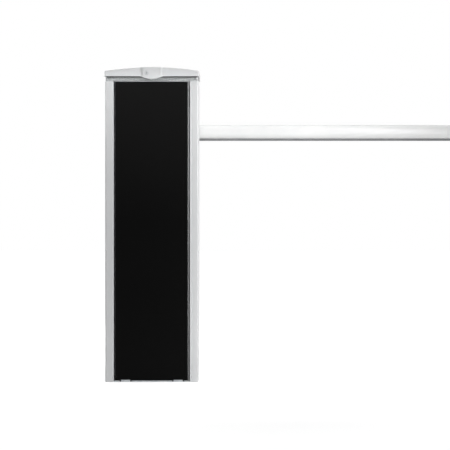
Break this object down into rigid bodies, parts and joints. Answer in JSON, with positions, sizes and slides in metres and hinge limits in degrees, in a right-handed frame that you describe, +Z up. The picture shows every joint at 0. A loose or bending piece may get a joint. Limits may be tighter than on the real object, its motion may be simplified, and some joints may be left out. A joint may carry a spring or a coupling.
{
  "type": "boom barrier",
  "caption": "Automatic boom barrier: slim cabinet with folded door, hinged lid and light band, and a swinging oval boom balanced by a spring.",
  "frame": {"origin": "centre of the base on the floor, which is the centre of the four anchor holes", "axes": "+X to the right along the closed boom seen from the door side, -Y out of the door, +Z up"},
  "size_m": [3.1105, 0.328, 1.08],
  "materials": {
    "profile_coat": "satin anodised and clear coated",
    "door_coat": "black satin powder coat",
    "rear_coat": "light grey satin powder coat",
    "zinc_steel": "zinc plated",
    "machined_steel": "turned and milled",
    "forged_steel": "dark phosphated",
    "spring_steel": "black coated spring wire",
    "cast_aluminium": "sand cast, clean",
    "white_coat": "white gloss powder coat",
    "lid_plastic": "light grey moulded",
    "head_plastic": "grey moulded",
    "clear_plastic": "clear ribbed",
    "black_rubber": "matt",
    "grey_rubber": "matt",
    "black_plastic": "fine grained",
    "grey_cap": "moulded",
    "green_board": "solder resist",
    "green_terminal": "moulded",
    "transformer_iron": "varnished laminations",
    "red_plastic": "moulded"
  },
  "bodies": {
    "cabinet": {"base_plate": "zinc_steel", "right_profile": "profile_coat", "left_profile": "profile_coat", "frame_bolts": "zinc_steel", "rear_panel": "rear_coat", "shaft_seal": "black_rubber", "mechanism_plate": "zinc_steel", "front_bearing": "cast_aluminium", "rear_bearing": "cast_aluminium", "bearing_bolts": "zinc_steel", "balance_spring": "spring_steel", "spring_rod": "zinc_steel", "spring_nuts": "zinc_steel", "spring_bracket": "zinc_steel", "gearbox_housing": "cast_aluminium", "gearbox_cover": "cast_aluminium", "gearbox_bolts": "zinc_steel", "motor_can": "forged_steel", "motor_end_cap": "black_plastic", "stop_posts": "machined_steel", "stop_bolts": "zinc_steel", "stop_buffers": "black_rubber", "head_frame": "head_plastic", "light_lens": "clear_plastic", "lens_seal": "black_rubber", "led_strip": "white_coat", "hinge_brackets": "zinc_steel", "hinge_pins": "machined_steel", "lock_strike": "zinc_steel", "door_catches": "black_plastic", "control_tray": "black_plastic", "cable_glands": "grey_cap", "control_board": "green_board", "terminal_blocks": "green_terminal", "transformer": "transformer_iron"},
    "boom": {"main_shaft": "machined_steel", "shaft_keys": "machined_steel", "balance_lever": "forged_steel", "lever_pins": "machined_steel", "boom_hub": "machined_steel", "boom_holder": "cast_aluminium", "holder_cover": "cast_aluminium", "holder_bolts": "zinc_steel", "boom_tube": "white_coat", "boom_edge": "grey_rubber", "boom_end_cap": "black_plastic"},
    "spring_hanger": {"spring_eye": "zinc_steel"},
    "crank": {"output_shaft": "machined_steel", "motor_crank": "forged_steel", "crank_pin": "machined_steel"},
    "rod": {"rod_ends": "zinc_steel", "rod_bar": "machined_steel"},
    "lid": {"lid": "lid_plastic", "hinge_leaves": "zinc_steel", "lock_barrel": "grey_cap"},
    "lock": {"lock_plug": "machined_steel", "lock_cam": "zinc_steel"},
    "release": {"release_knob": "red_plastic"},
    "door": {"door_panel": "door_coat"}
  },
  "joints": [
    {"name": "boom_swing", "type": "hinge", "parent": "cabinet", "child": "boom", "pos_m": [0, 0, 0.87005], "axis": [0, -1, 0], "range_deg": [0, 90], "deforming": ["balance_spring"]},
    {"name": "crank_turn", "type": "hinge", "parent": "cabinet", "child": "crank", "pos_m": [0, 0, 0.61505], "axis": [0, -1, 0], "range_deg": [0, 90]},
    {"name": "rod_swing", "type": "hinge", "parent": "crank", "child": "rod", "pos_m": [0.05657, 0, 0.55848], "axis": [0, -1, 0], "range_deg": [-90, 0]},
    {"name": "spring_eye_swing", "type": "hinge", "parent": "boom", "child": "spring_hanger", "pos_m": [-0.06505, 0, 0.9351], "axis": [0, -1, 0], "range_deg": [-90, 0]},
    {"name": "door_tilt", "type": "hinge", "parent": "cabinet", "child": "door", "pos_m": [0, -0.11025, 0.0056], "axis": [1, 0, 0], "range_deg": [0, 25]},
    {"name": "lid_lift", "type": "hinge", "parent": "cabinet", "child": "lid", "pos_m": [0, 0.1198, 1.0519], "axis": [-1, 0, 0], "range_deg": [0, 70]},
    {"name": "lock_turn", "type": "hinge", "parent": "lid", "child": "lock", "pos_m": [-0.017, -0.11, 1.06], "axis": [0, -1, 0], "range_deg": [0, 90]},
    {"name": "release_turn", "type": "hinge", "parent": "cabinet", "child": "release", "pos_m": [-0.008, 0, 0.57505], "axis": [0, -1, 0], "range_deg": [0, 90]}
  ],
  "couplings": [
    {"joint": "crank_turn", "follows": "boom_swing", "ratio": 1},
    {"joint": "rod_swing", "follows": "boom_swing", "ratio": -1},
    {"joint": "spring_eye_swing", "follows": "boom_swing", "ratio": -1}
  ]
}
